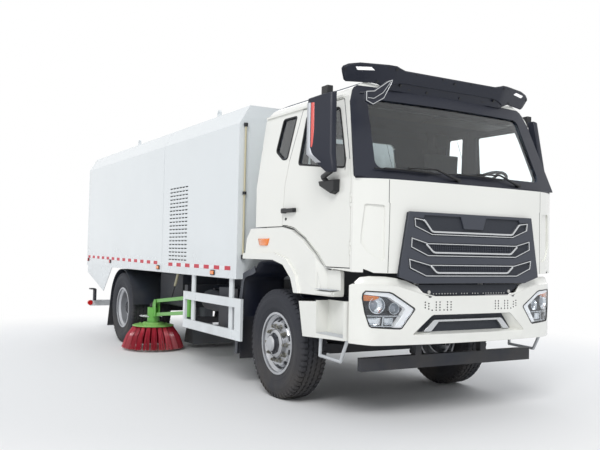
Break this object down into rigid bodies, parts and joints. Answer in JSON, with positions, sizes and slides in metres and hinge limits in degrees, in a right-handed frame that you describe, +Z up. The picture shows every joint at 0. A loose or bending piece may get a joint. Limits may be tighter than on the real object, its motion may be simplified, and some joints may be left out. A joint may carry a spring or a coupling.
{
  "type": "street sweeper truck",
  "caption": "Two-axle truck street sweeper with tilting cab, tipping hopper, rear discharge gate and side brooms on parallel lift links.",
  "frame": {"origin": "on the ground, under the middle of the overall length and width", "axes": "+X forward, +Y to the truck's left, +Z up"},
  "size_m": [8.3, 3.0574, 3.082],
  "materials": {
    "body_paint": "gloss",
    "cab_paint": "gloss",
    "chassis_paint": "satin",
    "engine_metal": "matt",
    "dark_plastic": "matt",
    "rod_chrome": "polished",
    "tyre_rubber": "matt",
    "rim_silver": "satin",
    "glass": "clear",
    "lamp_black": "gloss",
    "lamp_clear": "clear",
    "seat_cloth": "woven",
    "broom_green": "gloss",
    "bristle_red": "matt",
    "nozzle_steel": "satin"
  },
  "bodies": {
    "chassis": {"chassis_frame": "chassis_paint", "engine": "engine_metal", "front_axle": "chassis_paint", "rear_axle": "chassis_paint", "propshaft": "chassis_paint", "leaf_springs": "chassis_paint", "side_tanks": "chassis_paint", "battery_box": "chassis_paint", "front_module": "body_paint", "side_guards": "body_paint", "belly_tanks": "chassis_paint", "mudguards": "dark_plastic", "rear_light_bar": "chassis_paint", "suction_nozzle": "nozzle_steel", "roof_duct": "dark_plastic", "front_bumper": "cab_paint", "headlamp_housings": "lamp_black", "headlamp_lenses": "lamp_clear", "step_boxes": "cab_paint"},
    "cab": {"cab_shell": "cab_paint", "cab_glass": "glass", "cab_fenders": "cab_paint", "grille": "dark_plastic", "visor": "dark_plastic", "seats": "seat_cloth", "dashboard": "dark_plastic", "kerb_mirror": "dark_plastic", "wipers": "dark_plastic"},
    "hopper": {"hopper": "body_paint"},
    "tailgate": {"tailgate": "body_paint"},
    "ram_barrel": {"ram_barrel": "chassis_paint"},
    "ram_rod": {"ram_rod": "rod_chrome"},
    "knuckle_right": {"knuckle_right": "chassis_paint"},
    "wheel_front_right": {"tyre_front_right": "tyre_rubber", "rim_front_right": "rim_silver"},
    "wheels_rear_right": {"tyre_rear_inner_right": "tyre_rubber", "tyre_rear_outer_right": "tyre_rubber", "rims_rear_right": "rim_silver"},
    "door_right": {"door_right": "cab_paint", "door_glass_right": "glass", "door_mirror_right": "dark_plastic"},
    "broom_post_right": {"broom_post_right": "broom_green"},
    "broom_link_upper_right": {"broom_link_upper_right": "broom_green"},
    "broom_link_lower_right": {"broom_link_lower_right": "broom_green"},
    "broom_head_right": {"broom_head_right": "broom_green"},
    "broom_brush_right": {"broom_brush_right": "bristle_red"},
    "knuckle_left": {"knuckle_left": "chassis_paint"},
    "wheel_front_left": {"tyre_front_left": "tyre_rubber", "rim_front_left": "rim_silver"},
    "wheels_rear_left": {"tyre_rear_inner_left": "tyre_rubber", "tyre_rear_outer_left": "tyre_rubber", "rims_rear_left": "rim_silver"},
    "door_left": {"door_left": "cab_paint", "door_glass_left": "glass", "door_mirror_left": "dark_plastic"},
    "broom_post_left": {"broom_post_left": "broom_green"},
    "broom_link_upper_left": {"broom_link_upper_left": "broom_green"},
    "broom_link_lower_left": {"broom_link_lower_left": "broom_green"},
    "broom_head_left": {"broom_head_left": "broom_green"},
    "broom_brush_left": {"broom_brush_left": "bristle_red"}
  },
  "joints": [
    {"name": "cab_tilt", "type": "hinge", "parent": "chassis", "child": "cab", "pos_m": [3.83, 0, 1], "axis": [0, -1, 0], "range_deg": [-50, 0]},
    {"name": "hopper_tip", "type": "hinge", "parent": "chassis", "child": "hopper", "pos_m": [-3.65, 0, 1.045], "axis": [0, -1, 0], "range_deg": [0, 45]},
    {"name": "tailgate_swing", "type": "hinge", "parent": "hopper", "child": "tailgate", "pos_m": [-3.943, 0, 2.988], "axis": [0, 1, 0], "range_deg": [0, 80]},
    {"name": "ram_turn", "type": "hinge", "parent": "chassis", "child": "ram_barrel", "pos_m": [-2.31, 0, 0.85], "axis": [0, -1, 0], "range_deg": [0, 65.27]},
    {"name": "ram_slide", "type": "slide", "parent": "ram_barrel", "child": "ram_rod", "axis": [0.9915, 0, 0.1303], "range_m": [0, 0.7876]},
    {"name": "steer_right", "type": "hinge", "parent": "chassis", "child": "knuckle_right", "pos_m": [2.65, -0.88, 0.525], "axis": [0, 0, 1], "range_deg": [-38, 38]},
    {"name": "wheel_front_right_spin", "type": "hinge", "parent": "knuckle_right", "child": "wheel_front_right", "pos_m": [2.65, -1.011, 0.525], "axis": [0, 1, 0], "continuous": true},
    {"name": "wheels_rear_right_spin", "type": "hinge", "parent": "chassis", "child": "wheels_rear_right", "pos_m": [-2.05, -0.9165, 0.525], "axis": [0, 1, 0], "continuous": true},
    {"name": "door_right_swing", "type": "hinge", "parent": "cab", "child": "door_right", "pos_m": [3.928, -1.166, 1.65], "axis": [0, 0, 1], "range_deg": [0, 70]},
    {"name": "broom_right_swing", "type": "hinge", "parent": "chassis", "child": "broom_post_right", "pos_m": [0.17, -1.03, 0.8], "axis": [0, 0, 1], "range_deg": [0, 10]},
    {"name": "broom_right_lift", "type": "hinge", "parent": "broom_post_right", "child": "broom_link_lower_right", "pos_m": [0.09, -1.03, 0.61], "axis": [0, 1, 0], "range_deg": [0, 10]},
    {"name": "broom_right_upper_link", "type": "hinge", "parent": "broom_post_right", "child": "broom_link_upper_right", "pos_m": [0.09, -1.03, 0.8], "axis": [0, 1, 0], "range_deg": [0, 10]},
    {"name": "broom_right_level", "type": "hinge", "parent": "broom_link_lower_right", "child": "broom_head_right", "pos_m": [-1.02, -1.03, 0.498], "axis": [0, 1, 0], "range_deg": [-10, 0]},
    {"name": "brush_right_spin", "type": "hinge", "parent": "broom_head_right", "child": "broom_brush_right", "pos_m": [-1.16, -1.03, 0.345], "axis": [0, 0, 1], "continuous": true},
    {"name": "steer_left", "type": "hinge", "parent": "chassis", "child": "knuckle_left", "pos_m": [2.65, 0.88, 0.525], "axis": [0, 0, 1], "range_deg": [-38, 38]},
    {"name": "wheel_front_left_spin", "type": "hinge", "parent": "knuckle_left", "child": "wheel_front_left", "pos_m": [2.65, 1.011, 0.525], "axis": [0, 1, 0], "continuous": true},
    {"name": "wheels_rear_left_spin", "type": "hinge", "parent": "chassis", "child": "wheels_rear_left", "pos_m": [-2.05, 0.9165, 0.525], "axis": [0, 1, 0], "continuous": true},
    {"name": "door_left_swing", "type": "hinge", "parent": "cab", "child": "door_left", "pos_m": [3.928, 1.166, 1.65], "axis": [0, 0, -1], "range_deg": [0, 70]},
    {"name": "broom_left_swing", "type": "hinge", "parent": "chassis", "child": "broom_post_left", "pos_m": [0.17, 1.03, 0.8], "axis": [0, 0, -1], "range_deg": [0, 10]},
    {"name": "broom_left_lift", "type": "hinge", "parent": "broom_post_left", "child": "broom_link_lower_left", "pos_m": [0.09, 1.03, 0.61], "axis": [0, 1, 0], "range_deg": [0, 10]},
    {"name": "broom_left_upper_link", "type": "hinge", "parent": "broom_post_left", "child": "broom_link_upper_left", "pos_m": [0.09, 1.03, 0.8], "axis": [0, 1, 0], "range_deg": [0, 10]},
    {"name": "broom_left_level", "type": "hinge", "parent": "broom_link_lower_left", "child": "broom_head_left", "pos_m": [-1.02, 1.03, 0.498], "axis": [0, 1, 0], "range_deg": [-10, 0]},
    {"name": "brush_left_spin", "type": "hinge", "parent": "broom_head_left", "child": "broom_brush_left", "pos_m": [-1.16, 1.03, 0.345], "axis": [0, 0, -1], "continuous": true}
  ],
  "couplings": [
    {"joint": "ram_turn", "follows": "hopper_tip", "ratio": 1.4482},
    {"joint": "ram_slide", "follows": "hopper_tip", "m_per_rad": 1.0015},
    {"joint": "broom_right_upper_link", "follows": "broom_right_lift", "ratio": 1},
    {"joint": "broom_right_level", "follows": "broom_right_lift", "ratio": -1},
    {"joint": "broom_left_upper_link", "follows": "broom_left_lift", "ratio": 1},
    {"joint": "broom_left_level", "follows": "broom_left_lift", "ratio": -1},
    {"joint": "steer_left", "follows": "steer_right", "ratio": 1}
  ]
}
